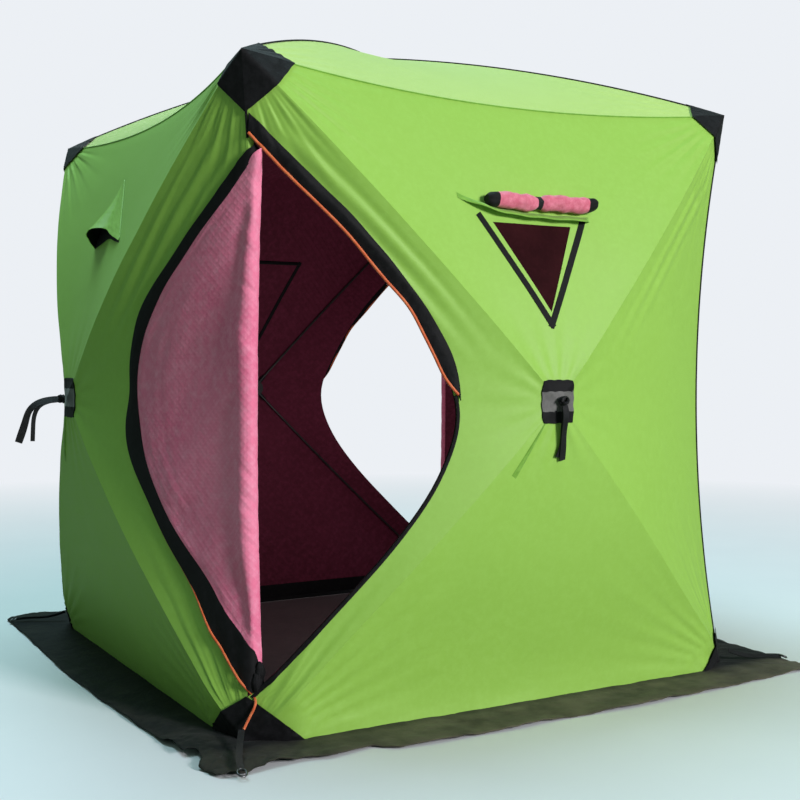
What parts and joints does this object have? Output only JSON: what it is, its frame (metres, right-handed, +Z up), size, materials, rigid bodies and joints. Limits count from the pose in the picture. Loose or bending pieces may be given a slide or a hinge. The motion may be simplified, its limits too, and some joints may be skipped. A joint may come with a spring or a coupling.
{
  "type": "ice fishing hut",
  "caption": "Pop-up cube ice fishing hut with a green cloth skin, quilted pink lining, corner doors and a snow skirt.",
  "frame": {"origin": "centre of the floor, on the ground that the hut stands on", "axes": "+Z up; -Y out through the front wall, which has the window; +X towards the right wall; the open near door is at the corner of the front and left walls"},
  "size_m": [2.6024, 2.3462, 2.2],
  "materials": {
    "black_fabric": "coated cloth, matte",
    "black_plastic": "moulded plastic, matte",
    "black_webbing": "woven webbing, matte",
    "fibreglass": "pultruded rod, satin",
    "floor_fabric": "coated cloth, matte",
    "green_fabric": "woven polyester, faint sheen",
    "grey_patch": "coarse weave, matte",
    "orange_piping": "corded piping, matte",
    "pink_lining": "quilted lining, satin",
    "skirt_fabric": "thin coated cloth, matte",
    "steel_wire": "plain wire, dull",
    "window_film": "thin clear film, dark behind"
  },
  "bodies": {
    "root": {"back_wall_door_panel": "green_fabric", "back_wall_lower_panel": "green_fabric", "back_wall_poles": "fibreglass", "back_wall_side_panel": "green_fabric", "back_wall_upper_panel": "green_fabric", "back_window_cover_roll": "pink_lining", "back_window_pane": "window_film", "back_window_touch_tape": "black_fabric", "bottom_corner_caps": "black_fabric", "corner_ties": "black_webbing", "far_door_closed_half": "green_fabric", "far_door_flap_piping": "orange_piping", "far_door_folded_half": "pink_lining", "far_door_opening_piping": "orange_piping", "far_door_storm_flap": "black_fabric", "far_door_zip_tape": "black_fabric", "front_wall_door_panel": "green_fabric", "front_wall_lower_panel": "green_fabric", "front_wall_poles": "fibreglass", "front_wall_side_panel": "green_fabric", "front_wall_upper_panel": "green_fabric", "front_window_cover_roll": "pink_lining", "front_window_pane": "window_film", "front_window_touch_tape": "black_fabric", "groundsheet": "floor_fabric", "hub_patches": "grey_patch", "left_wall_door_panel": "green_fabric", "left_wall_lower_panel": "green_fabric", "left_wall_poles": "fibreglass", "left_wall_side_panel": "green_fabric", "left_wall_upper_panel": "green_fabric", "left_wall_vent_hood": "green_fabric", "near_door_closed_half": "green_fabric", "near_door_flap_piping": "orange_piping", "near_door_folded_half": "pink_lining", "near_door_opening_piping": "orange_piping", "near_door_storm_flap": "black_fabric", "near_door_zip_tape": "black_fabric", "pull_straps": "black_webbing", "right_wall_door_panel": "green_fabric", "right_wall_lower_panel": "green_fabric", "right_wall_poles": "fibreglass", "right_wall_side_panel": "green_fabric", "right_wall_upper_panel": "green_fabric", "right_wall_vent_hood": "green_fabric", "roof_back_panel": "green_fabric", "roof_front_panel": "green_fabric", "roof_hub": "black_plastic", "roof_left_panel": "green_fabric", "roof_poles": "fibreglass", "roof_right_panel": "green_fabric", "snow_skirt": "skirt_fabric", "tie_rings": "steel_wire", "top_corner_caps": "black_fabric", "wall_hubs": "black_plastic"}
  },
  "joints": []
}
